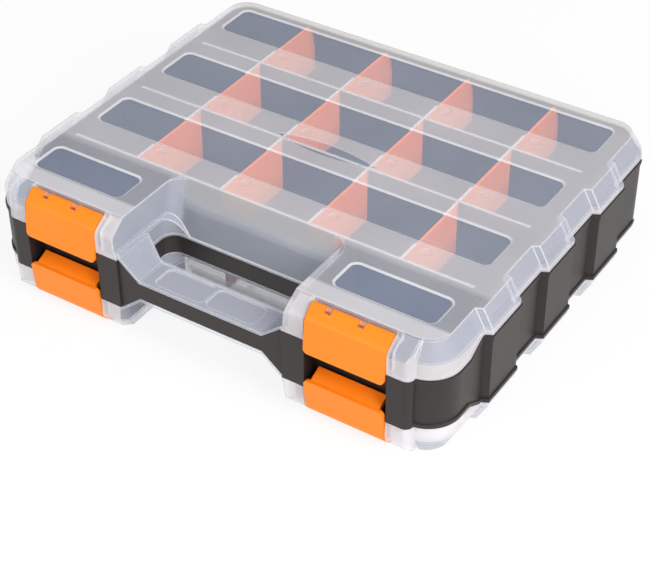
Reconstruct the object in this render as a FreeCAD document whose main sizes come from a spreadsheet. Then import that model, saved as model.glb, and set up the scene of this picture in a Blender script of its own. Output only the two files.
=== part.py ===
# Double-sided organizer box, in millimetres, standing on its lower lid.
# Origin under the middle of the box, +X to the right, +Y to the back, +Z up.
import FreeCAD, Part
import math
import os
import re
import Sketcher

Vector = FreeCAD.Vector

# Driving dimensions: name, size, what it is
DIMENSIONS = (
    ("box_width", 322, "across the side bumps"),
    ("box_depth", 272, "latches' free edges to rear hinge knuckles"),
    ("box_height", 80, "top lid face to bottom lid face"),
    ("wall", 2.2, "thickness of the moulded walls"),
    ("overrun", 5, "how far a cutting shape passes the surface it cuts"),
    ("parting_gap", 0.3, "gap between a lid's edge and the tray's rim"),
    ("inner_gap", 0.6, "gap between a lid and the walls inside it"),
    ("step_gap", 0.9, "gap in front of the lid where its edge steps down to the slot"),
    ("bump_step", 4.1, "how far the side bumps stand out"),
    ("bump_width", 31.6, "face of a side bump"),
    ("bump_flare", 2, "run of a bump's slanted flank"),
    ("corner_radius", 20.5, "upright corners of the box"),
    ("shoulder_drop", 12.5, "lid face down to the foot of the side slope"),
    ("slope_run", 6.9, "how far the side slope leans in"),
    ("side_rim_drop", 16, "lid face down to the tray's rim at the sides and back"),
    ("front_rim_drop", 23, "lid face down to the tray's rim at the front"),
    ("rim_rise_start", 35, "front face back to where the rim starts to rise"),
    ("rim_rise_run", 12, "length of the rising stretch of rim"),
    ("lip_step", 0.8, "how far the tray's lip stands out"),
    ("lip_height", 2.6, "height of the tray's lip"),
    ("collar", 1.4, "thickness of the collar inside the lid's skirt"),
    ("ledge", 2, "height of the ledge that carries the collar"),
    ("pad_step", 5.4, "how far the latch pads stand in front of the corners"),
    ("pad_outer", 139.9, "centre line to the outer end of a latch pad"),
    ("pad_radius", 5, "upright outer edges of the latch pads"),
    ("front_crease_drop", 8.2, "lid face down to the crease of the front slope"),
    ("front_slope_run", 12.6, "how far the front slope reaches back"),
    ("crease_radius", 6, "rounding of the crease"),
    ("row_pitch", 65.3, "cross wall to cross wall"),
    ("middle_wall_setback", 132.8, "front face back to the middle cross wall"),
    ("inner_wall", 2, "thickness of the walls between compartments"),
    ("wall_top_drop", 3.2, "lid face down to the top of the inner walls"),
    ("floor", 2, "thickness of the middle floor"),
    ("column_pitch", 61.9, "divider to divider"),
    ("divider", 1.6, "thickness of a divider"),
    ("divider_drop", 3.2, "lid face down to the top of a divider"),
    ("divider_gap", 0.3, "gap round a divider in its grooves"),
    ("groove_rib", 1.2, "thickness of the ribs beside a groove"),
    ("groove_depth", 1.4, "depth of a divider groove"),
    ("recess_half", 60, "half width of the handle recess at the lid face"),
    ("recess_depth", 64.2, "front face back to the recess at the lid face"),
    ("slot_half", 57.3, "half width of the hand slot"),
    ("slot_depth", 50.6, "front face back to the far wall of the hand slot"),
    ("slot_radius", 8.7, "rear corners of the hand slot"),
    ("slot_corner_run", 12.3, "width of the slot's slanted front corners"),
    ("slot_corner_depth", 5.6, "depth of the slot's slanted front corners"),
    ("slot_wall_half", 6, "half height of the tray's wall round the slot"),
    ("bar_depth", 24.4, "front face back to the near wall of the hand slot"),
    ("bar_setback", 1.3, "how far the handle bar stands behind the pads"),
    ("bar_half_height", 5.35, "half height of the tray's handle bar"),
    ("bar_half_span", 43, "half length of the level part of the bar"),
    ("ramp_run", 14, "length of the ramp from the bar up to a pad"),
    ("cover", 2.4, "height of the lid's cover on the bar"),
    ("trough_half", 35, "half length of the two troughs in the cover"),
    ("trough_rib", 1.6, "rib between the troughs"),
    ("trough_margin", 3.2, "edge left beside a trough"),
    ("trough_sink", 1, "depth of a trough"),
    ("trough_radius", 4, "corners of a trough"),
    ("window_half", 139.9, "half length of a long window"),
    ("window_depth", 32, "front to back size of a long window"),
    ("window_radius", 6, "corners of a window"),
    ("window_sink", 0.7, "how far a window is sunk into the lid"),
    ("window_edge", 1.5, "width of a window's slanted edge"),
    ("rear_window_shift", 0.6, "rear window behind the middle of its row"),
    ("small_window_inner", 72.6, "centre line to the inner end of a front window"),
    ("small_window_depth", 26, "front to back size of a front window"),
    ("small_window_setback", 24.4, "front face back to a front window"),
    ("plate_half", 36, "half length of the blank name plate"),
    ("plate_depth", 12, "front to back size of the blank name plate"),
    ("plate_sink", 0.4, "depth of the blank name plate"),
    ("mark_radius", 3, "round ejector marks on the lid"),
    ("mark_sink", 0.25, "depth of an ejector mark"),
    ("mark_offset", 10.5, "ejector marks behind the cross walls"),
    ("mark_shift", 10.5, "ejector marks to the right of the dividers"),
    ("rib", 1.5, "thickness of the ribs under the lid"),
    ("rib_height", 0.6, "height of the ribs under the lid"),
    ("latch_centre", 98.65, "centre line to the middle of a latch"),
    ("latch_width", 51.7, "length of a latch"),
    ("latch_thickness", 2.4, "thickness of a latch's plate"),
    ("latch_gap", 0.6, "gap between a latch and its pocket"),
    ("latch_drop", 30, "lid face down to the free edge of a latch"),
    ("latch_flare", 2, "how far a latch's free edge leans out in front of the pads"),
    ("latch_radius", 3, "corners of a latch's free edge"),
    ("latch_slope_run", 8.8, "crease back to where a latch's steeper slope would meet the lid face"),
    ("pivot_setback", 8.5, "front face back to a latch's pivot"),
    ("barrel_radius", 1.9, "barrel round a latch's pivot"),
    ("pivot_radius", 1, "moulded pivot inside the barrel"),
    ("running_gap", 0.05, "radial play of a pivot"),
    ("lug_width", 3, "lugs of the lid that hold a latch's pivot"),
    ("lug_spacing", 21, "lug to lug"),
    ("lug_shift", 4, "pair of lugs left of the latch's middle"),
    ("notch_depth", 1, "notches in the latch's edge in front of the barrel"),
    ("catch_depth", 11.5, "front face back to the wall of the latch pocket"),
    ("catch_drop", 26.2, "lid face down to the underside of the catch"),
    ("hook_reach", 9, "front face back to the inner face of the hook"),
    ("hook_drop", 33.8, "lid face down to the lower face of the hook"),
    ("hook_gap", 0.4, "gap between hook and catch"),
    ("hook_slant", 2.2, "fall of the hook's upper face"),
    ("hook_inset", 3.6, "hook's ends inside the latch's ends"),
    ("knuckle_radius", 2.65, "rear hinge knuckles"),
    ("hinge_gap", 0.35, "gap beside and in front of the knuckles"),
    ("hinge_centre", 95, "centre line to the middle of a rear hinge"),
    ("lid_knuckle", 14, "length of the lid's knuckle"),
    ("tray_knuckle", 8, "length of each of the tray's two knuckles"),
    ("pin_radius", 1.25, "steel hinge pin"),
)
ALIASES = {alias for alias, size, note in DIMENSIONS}

doc = FreeCAD.newDocument("organizer_box")
sheet = doc.addObject("Spreadsheet::Sheet", "dims")
for row, (alias, size, note) in enumerate(DIMENSIONS, start=1):
    sheet.set(f"A{row}", note)
    sheet.set(f"B{row}", str(size))
    sheet.setAlias(f"B{row}", alias)
doc.recompute()

# Places worked out from the driving dimensions
TOP = "box_height"
MIDDLE = "(box_height / 2)"
BUMP = "(box_width / 2)"
FLANK = "(box_width / 2 - bump_step)"
FRONT = "(latch_flare - box_depth / 2)"
BACK = "(box_depth / 2 - 2 * knuckle_radius - hinge_gap)"
CORNER_FRONT = f"({FRONT} + pad_step)"
SIDE_RIM = "(box_height - side_rim_drop)"
FRONT_RIM = "(box_height - front_rim_drop)"
SHOULDER = "(box_height - shoulder_drop)"
CREASE = "(box_height - front_crease_drop)"
FRONT_SLOPE = "(front_crease_drop / front_slope_run)"
SLOPE_LENGTH = f"sqrt(1 + {FRONT_SLOPE} ^ 2)"
SLOT_TOP = f"({MIDDLE} + slot_wall_half)"
BAR_TOP = f"({MIDDLE} + bar_half_height)"
FLOOR_TOP = f"({MIDDLE} + floor / 2)"
PIVOT_Y = f"({FRONT} + pivot_setback)"
LATCH_SLOPE = "(front_crease_drop / latch_slope_run)"
LATCH_LENGTH = f"sqrt(1 + {LATCH_SLOPE} ^ 2)"
PIVOT_Z = f"({CREASE} + {LATCH_SLOPE} * pivot_setback - barrel_radius * {LATCH_LENGTH})"
CATCH = "(box_height - catch_drop)"
HINGE_Y = "(box_depth / 2 - knuckle_radius)"
WALL_YS = [f"({FRONT} + middle_wall_setback + {step} * row_pitch)" for step in (-1, 0, 1)]
DIVIDER_XS = [f"({step} * column_pitch / 2)" for step in (-3, -1, 1, 3)]


# Binding sizes to the sheet
def expr(text):
    return re.sub(r"[a-z_]+", lambda word: "dims." + word[0] if word[0] in ALIASES else word[0], text)


def value(text):
    return float(sheet.evalExpression(expr(text)))


def bind(item, **sizes):
    for prop, text in sizes.items():
        item.setExpression(prop.replace("__", "."), expr(text))
    return item


# Solids and sketches
def box(name, low, high):
    item = doc.addObject("Part::Box", name)
    bind(item, Placement__Base__x=low[0], Placement__Base__y=low[1], Placement__Base__z=low[2])
    sizes = [f"({top}) - ({bottom})" for bottom, top in zip(low, high)]
    return bind(item, Length=sizes[0], Width=sizes[1], Height=sizes[2])


def rod(name, radius, middle, length):
    """A cylinder along X."""
    item = doc.addObject("Part::Cylinder", name)
    item.Placement.Rotation = FreeCAD.Rotation(Vector(0, 1, 0), 90)
    bind(item, Placement__Base__x=f"({middle[0]}) - ({length}) / 2", Placement__Base__y=middle[1])
    return bind(item, Placement__Base__z=middle[2], Radius=radius, Height=length)


def disc(name, radius, foot, height):
    """A cylinder along Z."""
    item = doc.addObject("Part::Cylinder", name)
    bind(item, Placement__Base__x=foot[0], Placement__Base__y=foot[1], Placement__Base__z=foot[2])
    return bind(item, Radius=radius, Height=height)


PLANES = {
    "XY": (FreeCAD.Rotation(), "Placement__Base__z"),
    "XZ": (FreeCAD.Rotation(Vector(1, 0, 0), 90), "Placement__Base__y"),
    "YZ": (FreeCAD.Rotation(Vector(1, 1, 1), 120), "Placement__Base__x"),
}


def sketch(name, plane, outline, level="0"):
    """Draw a closed outline, anticlockwise. A corner with a centre starts an arc round it."""
    item = doc.addObject("Sketcher::SketchObject", name)
    rotation, along = PLANES[plane]
    item.Placement.Rotation = rotation
    bind(item, **{along: level})
    starts = [Vector(value(corner[0]), value(corner[1]), 0) for corner in outline]
    segments = []
    constraints = []
    bound = []
    for index, corner in enumerate(outline):
        start = starts[index]
        following = (index + 1) % len(outline)
        end = starts[following]
        constraints.append(Sketcher.Constraint("Coincident", index, 2, following, 1))
        for kind, size, text in (("DistanceX", start.x, corner[0]), ("DistanceY", start.y, corner[1])):
            bound.append((len(constraints), text))
            constraints.append(Sketcher.Constraint(kind, -1, 1, index, 1, size))
        if len(corner) == 2:
            segments.append(Part.LineSegment(start, end))
            continue
        centre = Vector(value(corner[2]), value(corner[3]), 0)
        first = math.atan2(start.y - centre.y, start.x - centre.x)
        last = math.atan2(end.y - centre.y, end.x - centre.x)
        circle = Part.Circle(centre, Vector(0, 0, 1), (start - centre).Length)
        segments.append(Part.ArcOfCircle(circle, first, last))
        bound.append((len(constraints), corner[2]))
        constraints.append(Sketcher.Constraint("DistanceX", -1, 1, index, 3, centre.x))
    item.addGeometry(segments, False)
    item.addConstraint(constraints)
    for index, text in bound:
        item.setExpression(f"Constraints[{index}]", expr(text))
    return item


def extrude(name, profile, forward, backward="0"):
    item = doc.addObject("Part::Extrusion", name)
    item.Base = profile
    item.DirMode = "Normal"
    item.Solid = True
    return bind(item, LengthFwd=forward, LengthRev=backward)


def loft(name, *profiles):
    item = doc.addObject("Part::Loft", name)
    item.Sections = list(profiles)
    item.Solid = True
    item.Ruled = True
    return item


def fuse(name, *items):
    item = doc.addObject("Part::MultiFuse", name)
    item.Shapes = list(items)
    item.Refine = True
    return item


def common(name, *items):
    item = doc.addObject("Part::MultiCommon", name)
    item.Shapes = list(items)
    return item


def cut(name, base, *tools):
    item = doc.addObject("Part::Cut", name)
    item.Base = base
    item.Tool = tools[0] if len(tools) == 1 else fuse(name + "_tools", *tools)
    item.Refine = True
    return item


def turned_over(name, source):
    """The same piece on the other side of the middle plane."""
    item = doc.addObject("Part::Mirroring", name)
    item.Source = source
    item.Normal = Vector(0, 0, 1)
    return bind(item, Base__z=MIDDLE)


def rounded(low_x, high_x, low_y, high_y, radius):
    """Outline of a rectangle with round corners."""
    left, right = f"({low_x}) + {radius}", f"({high_x}) - {radius}"
    near, far = f"({low_y}) + {radius}", f"({high_y}) - {radius}"
    return [
        (left, low_y), (right, low_y, right, near),
        (high_x, near), (high_x, far, right, far),
        (right, high_y), (left, high_y, left, far),
        (low_x, far), (low_x, near, left, near),
    ]


# Outer form of the upper half, drawn in by an inset to give its inside
def box_plan(inset, lean):
    """Plan of the box with three bumps on each side."""
    draw_in = f"({inset} + {lean})"
    side = f"({FLANK} - {draw_in})"
    bump = f"({BUMP} - {draw_in})"
    near = f"({CORNER_FRONT} + {draw_in})"
    far = f"({BACK} - {draw_in})"
    radius = f"(corner_radius - {draw_in})"
    face = f"(bump_width / 2 - {inset})"
    base = f"(bump_width / 2 + bump_flare - {inset})"
    right_side = []
    for wall_y in WALL_YS:
        right_side += [(side, f"{wall_y} - {base}"), (bump, f"{wall_y} - {face}")]
        right_side += [(bump, f"{wall_y} + {face}"), (side, f"{wall_y} + {base}")]
    left_side = [(f"-{x}", y) for x, y in reversed(right_side)]
    centre_x = f"({side} - {radius})"
    near_centre, far_centre = f"({near} + {radius})", f"({far} - {radius})"
    return [
        (f"-{centre_x}", near), (centre_x, near, centre_x, near_centre),
        (side, near_centre), *right_side, (side, far_centre, centre_x, far_centre),
        (centre_x, far), (f"-{centre_x}", far, f"-{centre_x}", far_centre),
        (f"-{side}", far_centre), *left_side, (f"-{side}", near_centre, f"-{centre_x}", near_centre),
    ]


def round_crease(face, crease, slope, length, radius):
    """Corners that round the crease between a slope and the upright face below it."""
    run = f"({radius} * ({length} - {slope}))"
    upper = (f"{face} + {run} / {length}", f"{crease} + {run} * {slope} / {length}")
    return [(*upper, f"{face} + {radius}", f"{crease} - {run}"), (face, f"{crease} - {run}")]


def front_block(tag, inset):
    """The latch pads and the handle bar: an upright face with a slope above it."""
    face = f"({FRONT} + {inset})"
    crown = f"({TOP} - {inset})"
    crease = f"({crown} - front_crease_drop * (1 - {inset} / front_slope_run))"
    rear = f"({FRONT} + recess_depth)"
    profile = [(face, MIDDLE), (rear, MIDDLE), (rear, crown), (f"{FRONT} + front_slope_run", crown)]
    profile += round_crease(face, crease, FRONT_SLOPE, SLOPE_LENGTH, f"(crease_radius - {inset})")
    half = f"(pad_outer - {inset})"
    bar = extrude(f"front_bar_{tag}", sketch(f"front_profile_{tag}", "YZ", profile), half, half)
    radius = f"(pad_radius - {inset})"
    end_x, end_y = f"({half} - {radius})", f"({face} + {radius})"
    plan = [(f"-{end_x}", face), (end_x, face, end_x, end_y), (half, end_y), (half, rear)]
    plan += [(f"-{half}", rear), (f"-{half}", end_y, f"-{end_x}", end_y)]
    upright = extrude(f"pad_ends_{tag}", sketch(f"pad_plan_{tag}", "XY", plan, MIDDLE), f"{TOP} - {MIDDLE}")
    return common(f"front_block_{tag}", bar, upright)


def open_plan(half, near, far, radius):
    """Plan of a recess that is open to the front."""
    middle = f"({half} - {radius})"
    centre_y = f"({far} - {radius})"
    return [
        (f"-{half}", near), (half, near), (half, centre_y, middle, centre_y),
        (middle, far), (f"-{middle}", far, f"-{middle}", centre_y), (f"-{half}", centre_y),
    ]


def recess(tag, inset):
    """The handle recess: leaning walls, and a floor that ramps up from the bar to the pads."""
    near = f"({FRONT} - overrun)"
    radius = f"(slot_radius + {inset})"
    beyond = f"(1 + overrun / ({TOP} - {SLOT_TOP}))"
    low = open_plan(f"(slot_half + {inset})", near, f"({FRONT} + slot_depth + {inset})", radius)
    high_half = f"(slot_half + (recess_half - slot_half) * {beyond} + {inset})"
    high_back = f"({FRONT} + slot_depth + (recess_depth - slot_depth) * {beyond} + {inset})"
    high = open_plan(high_half, near, high_back, radius)
    shaft = extrude(f"recess_foot_{tag}", sketch(f"recess_low_{tag}", "XY", low, MIDDLE), "slot_wall_half")
    level = sketch(f"recess_level_{tag}", "XY", low, SLOT_TOP)
    mouth = sketch(f"recess_high_{tag}", "XY", high, f"{TOP} + overrun")
    leaning = loft(f"recess_walls_{tag}", level, mouth)
    floor = f"({BAR_TOP} + cover - {inset})"
    ramp_x = "(bar_half_span + 2 * ramp_run)"
    ramp_z = f"({floor} + 2 * ({FRONT_RIM} - {BAR_TOP}))"
    roof = f"({TOP} + 2 * overrun)"
    profile = [("-bar_half_span", floor), ("bar_half_span", floor), (ramp_x, ramp_z)]
    profile += [(ramp_x, roof), (f"-{ramp_x}", roof), (f"-{ramp_x}", ramp_z)]
    reach = f"(recess_depth + 2 * overrun + {inset})"
    bar_sketch = sketch(f"bar_profile_{tag}", "XZ", profile, f"{FRONT} + {reach}")
    above = extrude(f"above_bar_{tag}", bar_sketch, f"{reach} + 2 * overrun")
    return common(f"recess_{tag}", fuse(f"recess_shaft_{tag}", shaft, leaning), above)


def slot(tag, inset):
    """The hand slot behind the bar, right through the box."""
    half = f"(slot_half + {inset})"
    near = f"({FRONT} + bar_depth - {inset})"
    far = f"({FRONT} + slot_depth + {inset})"
    radius = f"(slot_radius + {inset})"
    corner_x = f"({half} - slot_corner_run)"
    corner_y = f"({near} + slot_corner_depth)"
    middle, centre_y = f"({half} - {radius})", f"({far} - {radius})"
    plan = [
        (f"-{corner_x}", near), (corner_x, near), (half, corner_y), (half, centre_y, middle, centre_y),
        (middle, far), (f"-{middle}", far, f"-{middle}", centre_y), (f"-{half}", centre_y),
        (f"-{half}", corner_y),
    ]
    base = sketch(f"slot_plan_{tag}", "XY", plan, f"{MIDDLE} - overrun")
    return extrude(f"slot_{tag}", base, f"{TOP} - {MIDDLE} + 2 * overrun")


def bar_relief(tag, inset):
    """What sets the bar's front behind the pads."""
    half = f"(slot_half + {inset})"
    low = (f"-{half}", f"{FRONT} - overrun", f"{MIDDLE} - overrun")
    return box(f"bar_relief_{tag}", low, (half, f"{FRONT} + bar_setback + {inset}", f"{TOP} + overrun"))


def latch_pocket(tag, inset, centre):
    """Pocket for one latch: shallow in the lid, deep under the catch in the tray."""
    outside, roof, below = f"({FRONT} - overrun)", f"({TOP} + overrun)", f"({MIDDLE} - overrun)"
    deep = f"({FRONT} + catch_depth + {inset})"
    ceiling = f"({CATCH} + {inset})"
    shallow_depth = f"(latch_thickness + latch_gap + {inset})"
    shallow = f"({FRONT} + {shallow_depth})"
    pivot_floor = f"({PIVOT_Z} - barrel_radius - latch_gap - {inset})"
    crease = f"({pivot_floor} - {LATCH_SLOPE} * (pivot_setback - {shallow_depth}))"
    rear = f"({FRONT} + front_slope_run - latch_gap + {inset})"
    profile = [
        (outside, below), (deep, below), (deep, ceiling), (shallow, ceiling), (shallow, crease),
        (PIVOT_Y, pivot_floor), (rear, pivot_floor), (rear, roof), (outside, roof),
    ]
    half = f"latch_width / 2 + latch_gap + {inset}"
    return extrude(f"pocket_{tag}", sketch(f"pocket_profile_{tag}", "YZ", profile, centre), half, half)


LATCH_CENTRES = {"left": "-latch_centre", "right": "latch_centre"}


def envelope(tag, inset):
    """The upper half without its hollows, drawn in by the inset."""
    foot = sketch(f"foot_plan_{tag}", "XY", box_plan(inset, "0"), MIDDLE)
    shoulder = sketch(f"shoulder_plan_{tag}", "XY", box_plan(inset, "0"), SHOULDER)
    lean = f"(slope_run * (1 - {inset} / shoulder_drop))"
    crown = sketch(f"crown_plan_{tag}", "XY", box_plan(inset, lean), f"{TOP} - {inset}")
    strip = extrude(f"strip_{tag}", foot, f"{SHOULDER} - {MIDDLE}")
    solid = fuse(f"solid_{tag}", strip, loft(f"cap_{tag}", shoulder, crown), front_block(tag, inset))
    pockets = [latch_pocket(f"{side}_{tag}", inset, x) for side, x in LATCH_CENTRES.items()]
    hollows = [recess(tag, inset), slot(tag, inset), bar_relief(tag, inset), *pockets]
    return cut(f"envelope_{tag}", solid, *hollows)


def above_rim(tag, rise, step):
    """All that lies above the tray's rim, which dips at the front and round the handle."""
    reach, outside, roof = f"({BUMP} + overrun)", f"({FRONT} - overrun)", f"({TOP} + overrun)"
    side_rim, front_rim = f"({SIDE_RIM} + {rise})", f"({FRONT_RIM} + {rise})"
    high = box(f"high_{tag}", (f"-{reach}", outside, side_rim), (reach, f"{BACK} + overrun", roof))
    start = f"({FRONT} + rim_rise_start)"
    finish = f"({start} + rim_rise_run)"
    dip = [(outside, front_rim), (start, front_rim), (finish, side_rim), (finish, roof), (outside, roof)]
    front = extrude(f"dip_{tag}", sketch(f"dip_profile_{tag}", "YZ", dip), reach, reach)
    half = "(recess_half + wall)"
    bar_end = f"({FRONT} + bar_depth + slot_corner_depth + {step})"
    slot_rim = (f"-{half}", bar_end, f"{SLOT_TOP} + {rise}")
    round_slot = box(f"round_slot_{tag}", slot_rim, (half, f"{FRONT} + recess_depth", roof))
    ramp_x = "(bar_half_span + ramp_run)"
    bar_rim = f"({BAR_TOP} + {rise})"
    ramp = [("-bar_half_span", bar_rim), ("bar_half_span", bar_rim), (ramp_x, front_rim)]
    ramp += [(ramp_x, roof), (f"-{ramp_x}", roof), (f"-{ramp_x}", front_rim)]
    ramp_sketch = sketch(f"bar_dip_profile_{tag}", "XZ", ramp, bar_end)
    bar = extrude(f"bar_dip_{tag}", ramp_sketch, f"{bar_end} - {outside}")
    return fuse(f"above_rim_{tag}", high, front, round_slot, bar)


outer = envelope("outer", "0")
inner = envelope("inner", "wall")
clear = envelope("clear", "(wall + inner_gap)")
shell = cut("shell", outer, inner)
above_tray = above_rim("tray", "0", "0")
above_lid = above_rim("lid", "parting_gap", "step_gap")


# Rear hinge, one on each side of the middle
HINGE_XS = {"left": "-hinge_centre", "right": "hinge_centre"}
KNUCKLE_SHIFT = "(lid_knuckle / 2 + hinge_gap + tray_knuckle / 2)"


def knuckle(name, x, length, low, high, bore):
    """A bored barrel on the hinge line, with a web to the wall in front of it."""
    barrel = rod(f"{name}_barrel", "knuckle_radius", (x, HINGE_Y, SIDE_RIM), length)
    near = (f"{x} - {length} / 2", f"{BACK} - wall / 2", low)
    web = box(f"{name}_web", near, (f"{x} + {length} / 2", HINGE_Y, high))
    hole = rod(f"{name}_hole", bore, (x, HINGE_Y, SIDE_RIM), f"{length} + 2 * overrun")
    return cut(name, fuse(f"{name}_solid", barrel, web), hole)


# Tray: one moulding with a middle floor, open above and below
def partitions():
    """Cross walls, walls beside the recess, and ribs that leave grooves for the dividers."""
    wall_top = f"({TOP} - wall_top_drop)"
    half = "(inner_wall / 2)"
    walls = []
    for index, y in enumerate(WALL_YS[1:]):
        low = (f"-{BUMP}", f"{y} - {half}", MIDDLE)
        walls.append(box(f"cross_wall_{index}", low, (BUMP, f"{y} + {half}", wall_top)))
    beside = "(recess_half + wall + inner_gap)"
    front_y = WALL_YS[0]
    low = (f"-{beside}", f"{front_y} - {half}", MIDDLE)
    walls.append(box("recess_back_wall", low, (beside, f"{front_y} + {half}", SIDE_RIM)))
    for side, sign in (("left", "-"), ("right", "")):
        edges = sorted((f"{sign}{beside}", f"{sign}({beside} + inner_wall)"), key=value)
        low = (edges[0], CORNER_FRONT, MIDDLE)
        walls.append(box(f"recess_wall_{side}", low, (edges[1], f"{front_y} + {half}", wall_top)))
        edges = sorted((f"{sign}{beside}", f"{sign}{BUMP}"), key=value)
        low = (edges[0], f"{front_y} - {half}", MIDDLE)
        walls.append(box(f"front_wall_{side}", low, (edges[1], f"{front_y} + {half}", wall_top)))
    rib_half = "(divider / 2 + divider_gap + groove_rib)"
    for column, x in enumerate(DIVIDER_XS):
        front_top = wall_top if abs(value(x)) > value(beside) else SIDE_RIM
        low = (f"{x} - {rib_half}", front_y, MIDDLE)
        high = (f"{x} + {rib_half}", f"{front_y} + {half} + groove_depth", front_top)
        walls.append(box(f"rib_{column}_front", low, high))
        for index, y in enumerate(WALL_YS[1:]):
            low = (f"{x} - {rib_half}", f"{y} - {half} - groove_depth", MIDDLE)
            high = (f"{x} + {rib_half}", f"{y} + {half} + groove_depth", wall_top)
            walls.append(box(f"rib_{column}_{index}", low, high))
        low = (f"{x} - {rib_half}", f"{BACK} - wall - groove_depth", MIDDLE)
        walls.append(box(f"rib_{column}_back", low, (f"{x} + {rib_half}", BACK, SIDE_RIM)))
    return fuse("partitions", *walls)


# Collar: the part of the tray's moulding that rises inside a lid's skirt, kept as a node of its own
COLLAR_INSET = "(wall + inner_gap + collar)"
LEDGE_FOOT = f"({SIDE_RIM} - ledge)"


def collar_block(tag, inset):
    """Straight walls with leaning shoulders, from the ledge up to the top of the inner walls."""
    def plan(lean):
        draw_in = f"({inset} + {lean})"
        side = f"({FLANK} - {draw_in})"
        ends = (f"{CORNER_FRONT} + {draw_in}", f"{BACK} - {draw_in}")
        return rounded(f"-{side}", side, *ends, f"(corner_radius - {draw_in})")

    foot = sketch(f"{tag}_foot", "XY", plan("0"), LEDGE_FOOT)
    shoulder = sketch(f"{tag}_shoulder", "XY", plan("0"), SHOULDER)
    lean = "(slope_run * (1 - wall_top_drop / shoulder_drop))"
    crown = sketch(f"{tag}_crown", "XY", plan(lean), f"{TOP} - wall_top_drop")
    upright = extrude(f"{tag}_upright", foot, f"{SHOULDER} - {LEDGE_FOOT}")
    return fuse(tag, upright, loft(f"{tag}_cap", shoulder, crown))


def collar_room():
    """All the room outside the collar's inner face, from its ledge up and behind the dip of the rim."""
    low = (f"-{BUMP}", f"{FRONT} + rim_rise_start + rim_rise_run", LEDGE_FOOT)
    space = box("collar_space", low, (BUMP, BACK, TOP))
    return cut("collar_room", space, collar_block("collar_inside", COLLAR_INSET))


def make_collar(room):
    """A thin wall beside the lid's skirt, on a ledge that reaches out to the tray's wall."""
    low = (f"-{BUMP}", CORNER_FRONT, LEDGE_FOOT)
    ledge = common("collar_ledge", inner, box("ledge_zone", low, (BUMP, BACK, SIDE_RIM)))
    outside = collar_block("collar_outside", "(wall + inner_gap)")
    return common("top_collar", fuse("collar_solid", outside, ledge), room)


def row_ends():
    """Front and back of the three rows that have dividers, clear between the walls."""
    half = "inner_wall / 2"
    ends = list(zip(WALL_YS, WALL_YS[1:]))
    rows = [(f"({near} + {half})", f"({far} - {half})") for near, far in ends]
    rows.append((f"({WALL_YS[2]} + {half})", f"({BACK} - wall)"))
    return dict(zip(("front", "middle", "rear"), rows))


def make_tray(room):
    inside = cut("partitions_inside", partitions(), room)
    upper = common("partitions_upper", inside, clear)
    lower = cut("partitions_lower", common("partitions_within", inside, outer), above_tray)
    slab = box("floor_slab", (f"-{BUMP}", FRONT, MIDDLE), (BUMP, BACK, FLOOR_TOP))
    floor = common("tray_floor", slab, outer)
    lip_plan = sketch("lip_plan", "XY", box_plan("(-lip_step)", "0"), MIDDLE)
    lip_block = extrude("lip_block", lip_plan, f"{SHOULDER} - {MIDDLE}")
    band = common("lip_band", lip_block, above_rim("lip", "(-lip_height)", "0"))
    core_plan = sketch("lip_core_plan", "XY", box_plan("wall / 2", "0"), MIDDLE)
    core = extrude("lip_core", core_plan, f"{TOP} - {MIDDLE}")
    front_gap = box("lip_front_gap", ("-pad_outer", FRONT, MIDDLE), ("pad_outer", "0", TOP))
    back_corner = (FLANK, f"{BACK} + overrun", TOP)
    back_gap = box("lip_back_gap", (f"-{FLANK}", f"{BACK} - corner_radius", MIDDLE), back_corner)
    lip = cut("lip", band, above_tray, core, front_gap, back_gap)
    knuckles = []
    for side, x in HINGE_XS.items():
        for index, sign in enumerate(("-", "+")):
            middle = f"({x} {sign} {KNUCKLE_SHIFT})"
            ends = (f"{SIDE_RIM} - knuckle_radius", f"{SIDE_RIM} - parting_gap")
            name = f"tray_knuckle_{side}_{index}"
            knuckles.append(knuckle(name, middle, "tray_knuckle", *ends, "pin_radius"))
    half = fuse("tray_half", cut("tray_shell", shell, above_tray), floor, upper, lower, lip, *knuckles)
    grooves = []
    groove_half = "(divider / 2 + divider_gap)"
    for row, (near, far) in row_ends().items():
        for column, x in enumerate(DIVIDER_XS):
            low = (f"{x} - {groove_half}", near, FLOOR_TOP)
            high = (f"{x} + {groove_half}", far, f"{TOP} + overrun")
            grooves.append(box(f"groove_{row}_{column}", low, high))
    grooved = cut("tray_half_grooved", half, *grooves)
    return fuse("tray", grooved, turned_over("tray_half_below", grooved))


# Lid: a thin shell that also closes the handle recess and covers the bar
def sunk(name, plan, face, depth):
    """A shallow hollow in a level face."""
    return extrude(name, sketch(f"{name}_plan", "XY", plan, f"{face} - {depth}"), f"{depth} + overrun")


def window(name, low_x, high_x, low_y, high_y):
    """A shallow hollow with slanted edges."""
    def outline(grow):
        ends = (f"{low_x} - {grow}", f"{high_x} + {grow}", f"{low_y} - {grow}", f"{high_y} + {grow}")
        return rounded(*ends, f"(window_radius + {grow})")

    pane = sketch(f"{name}_pane", "XY", outline("(-window_edge)"), f"{TOP} - window_sink")
    mouth = sketch(f"{name}_mouth", "XY", outline("window_edge"), f"{TOP} + window_sink")
    return loft(name, pane, mouth)


def windows():
    """Three long windows over the rows and two short ones beside the recess."""
    middles = [f"(({near} + {far}) / 2)" for near, far in zip(WALL_YS, WALL_YS[1:])]
    middles.append(f"(({WALL_YS[2]} + {BACK}) / 2 + rear_window_shift)")
    hollows = []
    for index, middle in enumerate(middles):
        ends = (f"({middle} - window_depth / 2)", f"({middle} + window_depth / 2)")
        hollows.append(window(f"window_{index}", "-window_half", "window_half", *ends))
    near = f"({FRONT} + small_window_setback)"
    ends = (near, f"({near} + small_window_depth)")
    hollows.append(window("small_window_left", "-window_half", "-small_window_inner", *ends))
    hollows.append(window("small_window_right", "small_window_inner", "window_half", *ends))
    return hollows


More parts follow.
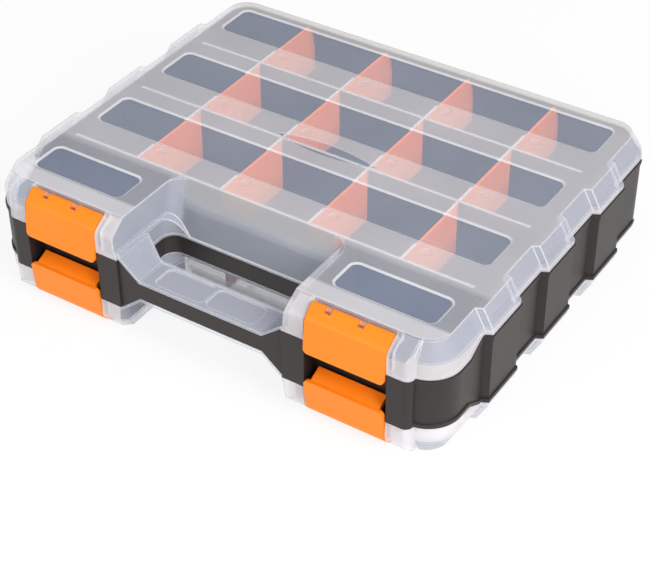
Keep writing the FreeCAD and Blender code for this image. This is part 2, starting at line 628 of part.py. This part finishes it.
def troughs():
    """Two finger troughs in the cover of the bar, with a rib between them."""
    cover_top = f"({BAR_TOP} + cover)"
    ends = (f"{FRONT} + bar_setback + trough_margin", f"{FRONT} + bar_depth - trough_margin")
    left = rounded("-trough_half", "-trough_rib / 2", *ends, "trough_radius")
    right = rounded("trough_rib / 2", "trough_half", *ends, "trough_radius")
    return [
        sunk("trough_left", left, cover_top, "trough_sink"),
        sunk("trough_right", right, cover_top, "trough_sink"),
    ]


def ejector_marks():
    marks = []
    for column, x in enumerate(DIVIDER_XS):
        for index, y in enumerate(WALL_YS):
            foot = (f"{x} + mark_shift", f"{y} + mark_offset", f"{TOP} - mark_sink")
            marks.append(disc(f"mark_{column}_{index}", "mark_radius", foot, "mark_sink + overrun"))
    return marks


def lid_ribs():
    """Low ribs under the lid: one over each cross wall, and short ones over the dividers' ends."""
    bottom, top = f"{TOP} - wall - rib_height", f"{TOP} - wall / 2"
    reach = "((row_pitch - window_depth) / 2)"
    ribs = []
    for index, y in enumerate(WALL_YS):
        low = ("-window_half", f"{y} - rib / 2", bottom)
        ribs.append(box(f"lid_rib_{index}", low, ("window_half", f"{y} + rib / 2", top)))
        near = y if y == WALL_YS[0] else f"{y} - {reach}"
        for column, x in enumerate(DIVIDER_XS):
            low = (f"{x} - rib / 2", near, bottom)
            ribs.append(box(f"lid_rib_{index}_{column}", low, (f"{x} + rib / 2", f"{y} + {reach}", top)))
    return ribs


def make_lid():
    solids = [common("lid_shell", shell, above_lid), *lid_ribs()]
    for side, x in HINGE_XS.items():
        ends = (f"{SIDE_RIM} + parting_gap", f"{SIDE_RIM} + knuckle_radius")
        solids.append(knuckle(f"lid_knuckle_{side}", x, "lid_knuckle", *ends, "pin_radius + running_gap"))
    for side, centre in LATCH_CENTRES.items():
        for index, x in enumerate(lug_places(centre)):
            solids.append(lug(f"lug_{side}_{index}", x))
    hollows = [*windows(), *troughs(), *ejector_marks(), name_plate()]
    return cut("top_lid", fuse("lid_solid", *solids), *hollows)


def name_plate():
    """A blank lens-shaped hollow, where two round discs overlap."""
    radius = "((plate_half ^ 2 + plate_depth ^ 2 / 4) / plate_depth)"
    reach = f"({radius} - plate_depth / 2)"
    discs = []
    for side, sign in (("near", "+"), ("far", "-")):
        foot = ("0", f"{WALL_YS[1]} {sign} {reach}", f"{TOP} - plate_sink")
        discs.append(disc(f"name_plate_{side}", radius, foot, "plate_sink + overrun"))
    return common("name_plate", *discs)


# Latches
def lug_places(centre):
    middle = f"({centre} - lug_shift)"
    return [f"({middle} - lug_spacing / 2)", f"({middle} + lug_spacing / 2)"]


def lug(name, x):
    """A bored lug on the lid that holds a latch's pivot."""
    barrel = rod(f"{name}_barrel", "barrel_radius", (x, PIVOT_Y, PIVOT_Z), "lug_width")
    foot = f"{PIVOT_Z} - barrel_radius - latch_gap - wall / 2"
    low = (f"{x} - lug_width / 2", f"{PIVOT_Y} - barrel_radius", foot)
    post = box(f"{name}_post", low, (f"{x} + lug_width / 2", f"{PIVOT_Y} + barrel_radius", PIVOT_Z))
    bore = "pivot_radius + running_gap"
    hole = rod(f"{name}_hole", bore, (x, PIVOT_Y, PIVOT_Z), "lug_width + 2 * overrun")
    return cut(name, fuse(f"{name}_solid", barrel, post), hole)


def make_latch(name, centre):
    """A plate that follows the front slope and face, with a hook inside and a pivot at the top."""
    half = "latch_width / 2"
    inside = f"({FRONT} + latch_thickness)"
    free_edge = f"({TOP} - latch_drop)"
    foot, inner_foot = f"({FRONT} - latch_flare)", f"({inside} - latch_flare)"
    inner_crease = f"({CREASE} + latch_thickness * ({LATCH_SLOPE} - {LATCH_LENGTH}))"
    tangent_y = f"({PIVOT_Y} - barrel_radius * {LATCH_SLOPE} / {LATCH_LENGTH})"
    tangent_z = f"({PIVOT_Z} + barrel_radius / {LATCH_LENGTH})"
    profile = [(foot, free_edge), (inner_foot, free_edge), (inside, inner_crease)]
    profile += [(PIVOT_Y, PIVOT_Z), (tangent_y, tangent_z)]
    profile += round_crease(FRONT, CREASE, LATCH_SLOPE, LATCH_LENGTH, "crease_radius")
    plate = extrude(f"{name}_plate", sketch(f"{name}_profile", "YZ", profile, centre), half, half)
    left, right = f"({centre} - {half})", f"({centre} + {half})"
    round_left, round_right = f"({left} + latch_radius)", f"({right} - latch_radius)"
    round_z = f"({free_edge} + latch_radius)"
    face = [(round_left, free_edge), (round_right, free_edge, round_right, round_z), (right, round_z)]
    face += [(right, TOP), (left, TOP), (left, round_z, round_left, round_z)]
    rear = f"({PIVOT_Y} + overrun)"
    face_sketch = sketch(f"{name}_outline", "XZ", face, rear)
    outline = extrude(f"{name}_face", face_sketch, "pivot_setback + 2 * overrun")
    barrel = rod(f"{name}_barrel", "barrel_radius", (centre, PIVOT_Y, PIVOT_Z), "latch_width")
    root = f"({foot} + latch_thickness / 2)"
    tip = f"({FRONT} + hook_reach)"
    hook_top = f"({CATCH} - hook_gap)"
    hook = [(root, free_edge), (inner_foot, free_edge), (tip, f"{TOP} - hook_drop")]
    hook += [(tip, f"{hook_top} - hook_slant"), (root, hook_top)]
    hook_half = f"{half} - hook_inset"
    hook_sketch = sketch(f"{name}_hook_profile", "YZ", hook, centre)
    hook_block = extrude(f"{name}_hook", hook_sketch, hook_half, hook_half)
    blank = fuse(f"{name}_blank", common(f"{name}_shaped", plate, outline), barrel, hook_block)
    notches = []
    for index, x in enumerate(lug_places(centre)):
        notch_half = "(lug_width / 2 + latch_gap)"
        near, below = f"{PIVOT_Y} - barrel_radius - notch_depth", f"{PIVOT_Z} - 2 * barrel_radius"
        high = (f"{x} + {notch_half}", rear, f"{TOP} + overrun")
        notches.append(box(f"{name}_notch_{index}", (f"{x} - {notch_half}", near, below), high))
    pivot = rod(f"{name}_pivot", "pivot_radius", (centre, PIVOT_Y, PIVOT_Z), "latch_width")
    return fuse(name, cut(f"{name}_notched", blank, *notches), pivot)


# Dividers
def make_divider(name, row, near, far, x):
    """A flat plate from wall to wall. In the rear row it steps in front of the collar and follows it."""
    left, right = f"({x} - divider / 2)", f"({x} + divider / 2)"
    front, back = f"({near} + divider_gap)", f"({far} - divider_gap)"
    top = f"({TOP} - divider_drop)"
    if row != "rear":
        return box(name, (left, front, FLOOR_TOP), (right, back, top))
    step_z = f"({LEDGE_FOOT} - divider_gap)"
    upper_back = f"({BACK} - {COLLAR_INSET} - divider_gap)"
    leaning = f"({upper_back} - slope_run * (shoulder_drop - divider_drop) / shoulder_drop)"
    profile = [(front, FLOOR_TOP), (back, FLOOR_TOP), (back, step_z), (upper_back, step_z)]
    profile += [(upper_back, SHOULDER), (leaning, top), (front, top)]
    return extrude(name, sketch(f"{name}_profile", "YZ", profile, left), "divider")


# Build every piece, and turn the upper ones over for the lower side
collar_space = collar_room()
pieces = {"tray": make_tray(collar_space), "top_collar": make_collar(collar_space), "top_lid": make_lid()}
for side, centre in LATCH_CENTRES.items():
    pieces[f"top_{side}_latch"] = make_latch(f"top_{side}_latch", centre)
for side, x in HINGE_XS.items():
    length = "lid_knuckle + 2 * tray_knuckle + 2 * hinge_gap"
    name = f"top_{side}_hinge_pin"
    pieces[name] = rod(name, "pin_radius", (x, HINGE_Y, SIDE_RIM), length)
for row, (near, far) in row_ends().items():
    for column, x in enumerate(DIVIDER_XS, start=1):
        name = f"top_{row}_divider_{column}"
        pieces[name] = make_divider(name, row, near, far, x)
for name in [name for name in pieces if name.startswith("top_")]:
    lower = name.replace("top_", "bottom_", 1)
    pieces[lower] = turned_over(lower, pieces[name])
doc.recompute()

# Check every object before anything is written
for item in doc.Objects:
    if "Invalid" in item.State or "Error" in item.State:
        raise RuntimeError(f"{item.Name} failed: {item.State}")
for name, item in pieces.items():
    shape = item.Shape
    if shape.isNull() or not shape.isValid() or len(shape.Solids) != 1:
        raise RuntimeError(f"{name} is not one valid solid: {len(shape.Solids)} solids")

os.makedirs("parts", exist_ok=True)
for name, item in pieces.items():
    item.Label = name
    item.Shape.exportStep(f"parts/{name}.step")
    print(f"{name}: {item.Shape.Volume:.1f} mm3")
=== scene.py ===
# %% [markdown]
# # A double-sided organizer box
# This carry case has one dark tray with compartments above and below. Each side is closed by a frosted
# lid that turns on pins at the back and snaps shut with two orange latches. The solids come ready from
# CAD and keep their shapes here. What Blender adds is how moulded plastic looks: haze, grain, gloss and
# soft edges.

# %% Load the solids
import math

import bpy
from mathutils import Matrix, Vector


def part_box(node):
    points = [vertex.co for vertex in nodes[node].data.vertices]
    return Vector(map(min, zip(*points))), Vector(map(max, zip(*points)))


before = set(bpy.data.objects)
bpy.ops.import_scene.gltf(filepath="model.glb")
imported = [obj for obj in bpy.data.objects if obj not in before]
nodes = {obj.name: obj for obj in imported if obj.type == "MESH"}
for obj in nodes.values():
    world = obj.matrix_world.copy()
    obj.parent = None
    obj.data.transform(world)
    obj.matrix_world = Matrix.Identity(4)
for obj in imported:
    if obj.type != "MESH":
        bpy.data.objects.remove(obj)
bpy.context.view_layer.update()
MM = 0.001

# %% [markdown]
# ## Tools for finishes
# Colours are written as the hex values that a colour picker shows. Shaders work in linear light, so one
# function converts them. Another adds a node, sets its options, and fills its sockets with a value or
# with a link. The rest are named after what they do, which keeps every material below short enough to
# read.

# %% Colours, nodes and materials
def linear(hex_colour, alpha=1.0):
    """The linear colour of a hex value, by the sRGB curve."""
    channels = []
    for start in (1, 3, 5):
        share = int(hex_colour[start:start + 2], 16) / 255
        channels.append(share / 12.92 if share <= 0.04045 else ((share + 0.055) / 1.055) ** 2.4)
    return (*channels, alpha)


def add(material, kind, sockets=None, **options):
    """A new node, whose sockets take either a value or a link from another socket."""
    tree = material.node_tree
    node = tree.nodes.new(kind)
    for name, option in options.items():
        setattr(node, name, option)
    for name, content in (sockets or {}).items():
        if isinstance(content, bpy.types.NodeSocket):
            tree.links.new(content, node.inputs[name])
        else:
            node.inputs[name].default_value = content
    return node


def new_material(name):
    material = bpy.data.materials.new(name)
    material.use_nodes = True
    material.node_tree.nodes.clear()
    return material


print("white in linear light:", linear("#FFFFFF"))


# %% Noise, ranges, blends and sums
def object_place(material):
    return add(material, "ShaderNodeTexCoord").outputs["Object"]


def noise(material, place, size_mm, detail=2.0):
    """Values between 0 and 1 in blotches of about `size_mm`."""
    node = add(material, "ShaderNodeTexNoise", {
        "Vector": place, "Scale": 1 / (size_mm * MM), "Detail": detail})
    return node.outputs["Fac"]


def span(material, value, low, high):
    """A value between 0 and 1, stretched to another range."""
    node = add(material, "ShaderNodeMapRange", {"Value": value, "To Min": low, "To Max": high})
    return node.outputs["Result"]


def blend_colours(material, share, first, second):
    node = add(material, "ShaderNodeMix", {"Factor": share, 6: first, 7: second}, data_type="RGBA")
    return node.outputs[2]


def blend_values(material, share, first, second):
    node = add(material, "ShaderNodeMix", {"Factor": share, 2: first, 3: second}, data_type="FLOAT")
    return node.outputs[0]


def compute(material, operation, *values):
    return add(material, "ShaderNodeMath", dict(enumerate(values)), operation=operation).outputs[0]


def mix_shaders(material, share, first, second):
    return add(material, "ShaderNodeMixShader", {0: share, 1: first, 2: second}).outputs["Shader"]


def show(material, surface):
    add(material, "ShaderNodeOutputMaterial", {"Surface": surface})
    return material


# %% [markdown]
# ## Moulded polypropylene
# The tray, the latches and the dividers are injection-moulded. The steel mould is spark-eroded, which
# leaves a fine even grain that turns a sharp reflection into a satin one. Edges are never quite sharp,
# because plastic doesn't fill a sharp corner: a Bevel node rounds the shading there without touching
# the mesh. Slow changes in colour and gloss come from the way the melt flows. A real grain of about
# 0.3 mm is too fine to show at this distance, so it is drawn at 0.9 mm.

# %% Satin plastic for the solid pieces
GRAIN_MM = 0.9
GRAIN_DEPTH_MM = 0.05
FLOW_MM = 45
FLOW_DETAIL = 3.0
EDGE_MM = 0.7
BEVEL_SAMPLES = 4
PLASTIC_IOR = 1.49
SATIN_GRAIN = 0.25
SATIN_SPECULAR = 0.35


def rounded_normal(material, radius_mm):
    """The normal as it would be with every edge rounded."""
    node = add(material, "ShaderNodeBevel", {"Radius": radius_mm * MM}, samples=BEVEL_SAMPLES)
    return node.outputs["Normal"]


def grained_normal(material, place, strength, normal):
    """Another normal, roughened by the mould's grain."""
    node = add(material, "ShaderNodeBump", {
        "Height": noise(material, place, GRAIN_MM), "Strength": strength,
        "Distance": GRAIN_DEPTH_MM * MM, "Normal": normal})
    return node.outputs["Normal"]


def satin_polypropylene(name, deep, pale, dull, shiny):
    material = new_material(name)
    place = object_place(material)
    flow = noise(material, place, FLOW_MM, FLOW_DETAIL)
    surface = add(material, "ShaderNodeBsdfPrincipled", {
        "Base Color": blend_colours(material, flow, linear(deep), linear(pale)),
        "Roughness": span(material, flow, shiny, dull),
        "IOR": PLASTIC_IOR, "Specular IOR Level": SATIN_SPECULAR,
        "Normal": grained_normal(material, place, SATIN_GRAIN, rounded_normal(material, EDGE_MM))})
    return show(material, surface.outputs["BSDF"])


# The tray is a warm near-black that a broad soft highlight lifts to grey on its side walls.
tray_plastic = satin_polypropylene(
    "dark_moulded_polypropylene", "#2A2524", "#332D2C", dull=0.50, shiny=0.38)
# The latches are the brightest colour of all, a little glossier than the tray where fingers press.
latch_plastic = satin_polypropylene(
    "orange_moulded_polypropylene", "#FF800C", "#FF8A18", dull=0.46, shiny=0.36)
# The dividers are a paler orange, which the lid's veil turns to salmon.
divider_plastic = satin_polypropylene(
    "orange_divider_polypropylene", "#FF8226", "#FF8C32", dull=0.48, shiny=0.40)
print("satin plastics:", tray_plastic.name, latch_plastic.name, divider_plastic.name)

# %% [markdown]
# ## Frosted polypropylene
# The lids are natural polypropylene. It isn't clear like glass: the melt itself is a little milky, so a
# thin polished pane shows what lies behind it under a pale blue veil, and a grained or thick place
# looks whiter. Every edge is painted whitest: partly because there the light crosses the most plastic,
# and partly as a painted highlight along the edge. A Bevel node finds the edges: its rounded normal turns
# away from the true one within a millimetre or so of an edge, and that turn drives the whitening. Rough
# glass would blur in the same way but needs many samples to light what is inside. Alpha gives the veil,
# and rays from lamps pass the lids, so the inside stays lit.

# %% Where the edges are, and how milky the plastic is from front to back
DEPTH_MM = 272
LEVEL_AGREEMENT = 0.98
EDGE_AGREEMENT = 0.80


# The whitening this mask drives is partly thicker plastic and partly a painted highlight along the edges.
def edge_whiteness_and_painted_highlight(material, rounded):
    """1 on an edge and 0 on a level face."""
    true_normal = add(material, "ShaderNodeNewGeometry").outputs["Normal"]
    product = add(material, "ShaderNodeVectorMath", {0: rounded, 1: true_normal}, operation="DOT_PRODUCT")
    agreement = compute(material, "ABSOLUTE", product.outputs["Value"])
    edge = add(material, "ShaderNodeMapRange", {
        "Value": agreement, "From Min": LEVEL_AGREEMENT, "From Max": EDGE_AGREEMENT})
    return edge.outputs["Result"]


def milk_along_depth(material, place, stops):
    """Tint and share of light stopped, for a list of (millimetres behind the middle, hex colour, share)."""
    depth = add(material, "ShaderNodeSeparateXYZ", {"Vector": place}).outputs["Y"]
    share = add(material, "ShaderNodeMapRange", {
        "Value": depth, "From Min": -DEPTH_MM / 2 * MM, "From Max": DEPTH_MM / 2 * MM})
    ramp = add(material, "ShaderNodeValToRGB", {"Fac": share.outputs["Result"]})
    elements = ramp.color_ramp.elements
    while len(elements) < len(stops):
        elements.new(0.5)
    while len(elements) > len(stops):
        elements.remove(elements[-1])
    for element, (millimetres, colour, cover) in zip(elements, stops):
        element.position = millimetres / DEPTH_MM + 0.5
        element.color = linear(colour, cover)
    return ramp.outputs["Color"], ramp.outputs["Alpha"]


# %% Milky plastic with white edges
HAZE_MM = 60
LEAST_HAZE, MOST_HAZE = 0.85, 1.15
# The white edges are partly thicker plastic and partly a painted highlight along every lid edge.
WHITE_EDGE_AND_HIGHLIGHT_MM = 1.3
WHITE_EDGE_AND_HIGHLIGHT_COLOUR = "#E9E9EC"
EDGE_COVER = 0.85


def milky_polypropylene(name, stops, rough, grain, edge_cover=EDGE_COVER):
    material = new_material(name)
    place = object_place(material)
    tint, cover = milk_along_depth(material, place, stops)
    haze = span(material, noise(material, place, HAZE_MM), LEAST_HAZE, MOST_HAZE)
    veil = compute(material, "MULTIPLY", cover, haze)
    rounded = rounded_normal(material, WHITE_EDGE_AND_HIGHLIGHT_MM)
    # The edge mask whitens the tint and thickens the veil: partly thicker plastic, partly a painted
    # highlight.
    edge = edge_whiteness_and_painted_highlight(material, rounded)
    surface = add(material, "ShaderNodeBsdfPrincipled", {
        "Base Color": blend_colours(material, edge, tint, linear(WHITE_EDGE_AND_HIGHLIGHT_COLOUR)),
        "Alpha": blend_values(material, edge, veil, edge_cover),
        "Roughness": rough, "IOR": PLASTIC_IOR,
        "Normal": grained_normal(material, place, grain, rounded)})
    from_lamp = add(material, "ShaderNodeLightPath").outputs["Is Shadow Ray"]
    clear = add(material, "ShaderNodeBsdfTransparent")
    return show(material, mix_shaders(material, from_lamp, surface.outputs["BSDF"], clear.outputs["BSDF"]))


# %% The finishes of a lid, from front to back
TOP_COLOUR = "#E8E5E9"
TOP_STOPS = [
    (-111, TOP_COLOUR, 0.60), (-109, TOP_COLOUR, 0.27), (-76, TOP_COLOUR, 0.27),
    (-71, TOP_COLOUR, 0.45), (108, TOP_COLOUR, 0.45), (117, "#CFCBC8", 0.54)]
PANE_STOPS = [(-80, "#D2E1FF", 0.155), (-60, "#D4DDF4", 0.195)]
# The back wall's denser grey band is painted shading.
BACK_WALL_STOPS = [(-75, "#C4CAD8", 0.25), (-74, "#ACACAE", 0.72)]
lid_plastics = (
    # The grained top lays a grey-white mist over what is inside, thinner round the small front windows.
    milky_polypropylene("grained_natural_polypropylene", TOP_STOPS, rough=0.42, grain=0.3),
    # A polished pane is a cool blue veil with sharp reflections, and things behind it keep their outlines.
    milky_polypropylene("polished_natural_polypropylene", PANE_STOPS, rough=0.14, grain=0.05),
    # The pads and the skirt are seen through several walls at once, so they look white and solid.
    milky_polypropylene("grained_side_polypropylene", [(0, "#E8E4E8", 0.43)], rough=0.40, grain=0.3),
    # The slopes round the rim are thin and bluish, and their folds stand out as white lines.
    milky_polypropylene("grained_slope_polypropylene", [(0, "#D8DCEA", 0.29)], rough=0.36, grain=0.2),
    # The handle recess is smoother, so the dark bar shows through its cover.
    milky_polypropylene("polished_recess_polypropylene", [(0, "#E2E7F6", 0.27)], rough=0.25, grain=0.1),
    # The recess's back wall has a greyer, denser band along its top: painted shading.
    milky_polypropylene("back_wall_painted_shading_polypropylene", BACK_WALL_STOPS, rough=0.30, grain=0.1),
    # The ribs and the slanted window edges are thick, which draws a white line round every pane; on the
    # window edges that white line is partly a painted highlight.
    milky_polypropylene("thick_natural_and_painted_highlight_polypropylene", [(0, "#EAEAEE", 0.66)], rough=0.30, grain=0.1),
    # The lugs in the latches' notches carry a painted orange glow, standing in for light bounced off the
    # orange latches beside them.
    milky_polypropylene(
        "polished_lug_painted_orange_light_polypropylene", [(0, "#D08A60", 0.30)], rough=0.20, grain=0.1, edge_cover=0.35),
)
print("lid plastics:", [material.name for material in lid_plastics])

# %% [markdown]
# ## Steel wire
# The hinge pins are cut from drawn wire. Drawing leaves fine lines along the pin, so the noise is
# squeezed across it and stretched along X.

# %% Drawn steel
WIRE_LINE_MM = 0.3
WIRE_STRETCH = (0.05, 1, 1)
WIRE_DETAIL = 3.0
WIRE_SHINY, WIRE_DULL = 0.22, 0.42


def drawn_wire(name, colour):
    """A bright metal whose highlight runs along the pin in fine streaks."""
    material = new_material(name)
    stretched = add(material, "ShaderNodeMapping", {"Vector": object_place(material), "Scale": WIRE_STRETCH})
    lines = noise(material, stretched.outputs["Vector"], WIRE_LINE_MM, WIRE_DETAIL)
    surface = add(material, "ShaderNodeBsdfPrincipled", {
        "Base Color": linear(colour), "Metallic": 1.0,
        "Roughness": span(material, lines, WIRE_SHINY, WIRE_DULL)})
    return show(material, surface.outputs["BSDF"])


drawn_steel = drawn_wire("drawn_steel_wire", "#B9BCC0")
print("metal:", drawn_steel.name)

# %% [markdown]
# ## Dress the solids
# Most solids take one finish. A lid takes eight, face by face: the panes are polished, the rest of the
# top is grained, the pads and the skirt are whiter, the slopes round the rim, the handle recess and the
# lugs are clearer, with a painted orange glow on the lugs, the recess's back wall has a band of painted
# shading along its top, and the ribs and the slanted window edges are thick and white, with a painted
# highlight on the window edges. The faces are told apart by where they lie and which way they look.

# %% One finish per solid
def dress(solid, *materials):
    solid.data.materials.clear()
    for material in materials:
        solid.data.materials.append(material)


def single_finish(name):
    """The finish of a solid by its name, or None for a lid."""
    if name == "tray" or name.endswith("_collar"):
        return tray_plastic
    if name.endswith("_latch"):
        return latch_plastic
    if name.endswith("_pin"):
        return drawn_steel
    return divider_plastic if "_divider_" in name else None


dressed = 0
for name, solid in nodes.items():
    finish = single_finish(name)
    if finish:
        dress(solid, finish)
        dressed += 1
print(dressed, "solids with one finish")

# %% Eight finishes on each lid
GRAINED, PANE, SIDE, SLOPE, RECESS, BACK_WALL, EDGE, LUG = range(len(lid_plastics))
WINDOW_SINK = 0.7 * MM
PLATE_SINK = 0.4 * MM
WALL = 2.2 * MM
RIB_DEPTH = 2.8 * MM
CLOSE = 0.05 * MM
RECESS_HALF, RECESS_BACK = 62 * MM, -67 * MM
BACK_HALF, BACK_NEAR = 52 * MM, -84 * MM
LUG_XS = [x * MM for x in (-113.15, -92.15, 84.15, 105.15)]
LUG_REACH = 2 * MM
PIVOT_Y = -125.5 * MM
PAD_END, PAD_BACK = 141 * MM, -115 * MM
POCKET_END = 126 * MM
# How far a face turns up or back: 1 looks straight that way and 0 looks sideways.
LEVEL, FACING, SHALLOW, LEANING, STEEP = 0.99, 0.9, 0.8, 0.3, 0.2


def on_lug(place):
    beside = min(abs(place.x - x) for x in LUG_XS)
    return beside < LUG_REACH and abs(place.y - PIVOT_Y) < LUG_REACH


def lid_finish(face, outside, up):
    """Which finish a face of a lid takes: `outside` is the height of its outer face and `up` points out."""
    place = face.center
    depth = (outside - place.z) * up
    slope = face.normal.z * up
    if depth < WALL + CLOSE and abs(slope) > LEVEL:
        sunk = abs(depth - WINDOW_SINK) < CLOSE or abs(depth - PLATE_SINK) < CLOSE
        return PANE if sunk or slope < 0 else GRAINED
    if depth < WINDOW_SINK and slope > SHALLOW:
        return EDGE
    if abs(place.x) < RECESS_HALF and place.y < RECESS_BACK:
        leaning_back = abs(face.normal.y) > FACING and abs(slope) > LEANING
        on_back = leaning_back and abs(place.x) < BACK_HALF and place.y > BACK_NEAR
        return BACK_WALL if on_back else RECESS
    if on_lug(place):
        return LUG
    on_pad = abs(place.x) < POCKET_END and place.y < PAD_BACK
    if STEEP < abs(slope) < FACING and not on_pad:
        return SLOPE
    on_rib = WALL < depth < RIB_DEPTH + CLOSE and abs(place.x) < PAD_END
    return EDGE if on_rib else SIDE


for name, up in (("top_lid", 1), ("bottom_lid", -1)):
    solid = nodes[name]
    low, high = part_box(name)
    outside = high[2] if up > 0 else low[2]
    dress(solid, *lid_plastics)
    for face in solid.data.polygons:
        face.material_index = lid_finish(face, outside, up)
    indices = [face.material_index for face in solid.data.polygons]
    print(name, "faces of each finish:", [indices.count(index) for index in range(len(lid_plastics))])

# %% [markdown]
# ## Stage, light and camera
# A pale floor and a white surround give the even light of a product photograph. One broad lamp from the
# right reaches the dividers through the lid. A weaker one from the front opens up the handle recess,
# and another from above lifts the panes. The floor is white where the camera sees it and keeps a soft
# shadow under the box.

# %% Floor
FLOOR_SIZE = 12
GLOW_SHARE = 0.85


def pale_floor():
    """Matt paper that mostly glows where it is seen and is plain paper where it only catches light."""
    material = new_material("pale_paper_floor")
    rays = add(material, "ShaderNodeLightPath").outputs
    seen = compute(material, "MAXIMUM", rays["Is Camera Ray"], rays["Is Glossy Ray"])
    seen = compute(material, "MAXIMUM", seen, rays["Is Transmission Ray"])
    share = compute(material, "MULTIPLY", seen, GLOW_SHARE)
    paper = add(material, "ShaderNodeBsdfDiffuse", {"Color": linear("#F6F6F6")})
    glow = add(material, "ShaderNodeEmission", {"Color": linear("#FFFFFF"), "Strength": 1.0})
    return show(material, mix_shaders(material, share, paper.outputs["BSDF"], glow.outputs["Emission"]))


bpy.ops.mesh.primitive_plane_add(size=FLOOR_SIZE, location=(0, 0, 0))
floor = bpy.context.object
floor.name = "floor"
dress(floor, pale_floor())
print("floor of", FLOOR_SIZE, "m")

# %% Surround and lamps
SKY_STRENGTH = 0.42
BOX_MIDDLE = Vector((0, 0, 0.04))
world = bpy.data.worlds.new("white_studio")
bpy.context.scene.world = world
world.use_nodes = True
sky = world.node_tree.nodes["Background"]
sky.inputs["Color"].default_value = linear("#FFFFFF")
sky.inputs["Strength"].default_value = SKY_STRENGTH
print("white surround of strength", SKY_STRENGTH)


def softbox(name, place, width, height, watts):
    """A broad lamp that looks at the middle of the box."""
    data = bpy.data.lights.new(name, "AREA")
    data.shape = "RECTANGLE"
    data.size, data.size_y = width, height
    data.energy = watts
    lamp = bpy.data.objects.new(name, data)
    lamp.location = place
    lamp.rotation_euler = (BOX_MIDDLE - Vector(place)).to_track_quat("-Z", "Y").to_euler()
    bpy.context.collection.objects.link(lamp)
    print(name, watts, "W")


softbox("side_softbox", (1.6, -0.5, 1.25), width=1.3, height=1.3, watts=37)
softbox("front_softbox", (-0.5, -1.7, 0.8), width=1.4, height=0.8, watts=11)
softbox("top_softbox", (0.1, -0.2, 1.8), width=1.0, height=1.0, watts=5)

# %% Camera
CAMERA_PLACE_MM = Vector((470.0, -715.7, 657.0))
AZIMUTH, ELEVATION, ROLL = math.radians(33.385), math.radians(38.661), math.radians(-0.433)
SENSOR_WIDTH = 36
# The focal length and the picture's width, both in pixels.
FOCAL_SHARE = 1700.3 / 650
camera_data = bpy.data.cameras.new("camera")
camera_data.sensor_fit = "HORIZONTAL"
camera_data.sensor_width = SENSOR_WIDTH
camera_data.lens = SENSOR_WIDTH * FOCAL_SHARE
camera = bpy.data.objects.new("camera", camera_data)
right = Vector((math.cos(AZIMUTH), math.sin(AZIMUTH), 0))
ahead = Vector((-math.sin(AZIMUTH), math.cos(AZIMUTH), 0))
forward = ahead * math.cos(ELEVATION) - Vector((0, 0, math.sin(ELEVATION)))
upward = right.cross(forward)
tipped = right * math.cos(ROLL) + upward * math.sin(ROLL)
upright = tipped.cross(forward)
turn = Matrix((tipped, upright, -forward)).transposed().to_quaternion()
camera.matrix_world = Matrix.LocRotScale(CAMERA_PLACE_MM * MM, turn, None)
bpy.context.collection.objects.link(camera)
bpy.context.scene.camera = camera
bpy.context.scene.view_settings.view_transform = "Standard"
print("camera lens", round(camera_data.lens, 2), "mm")
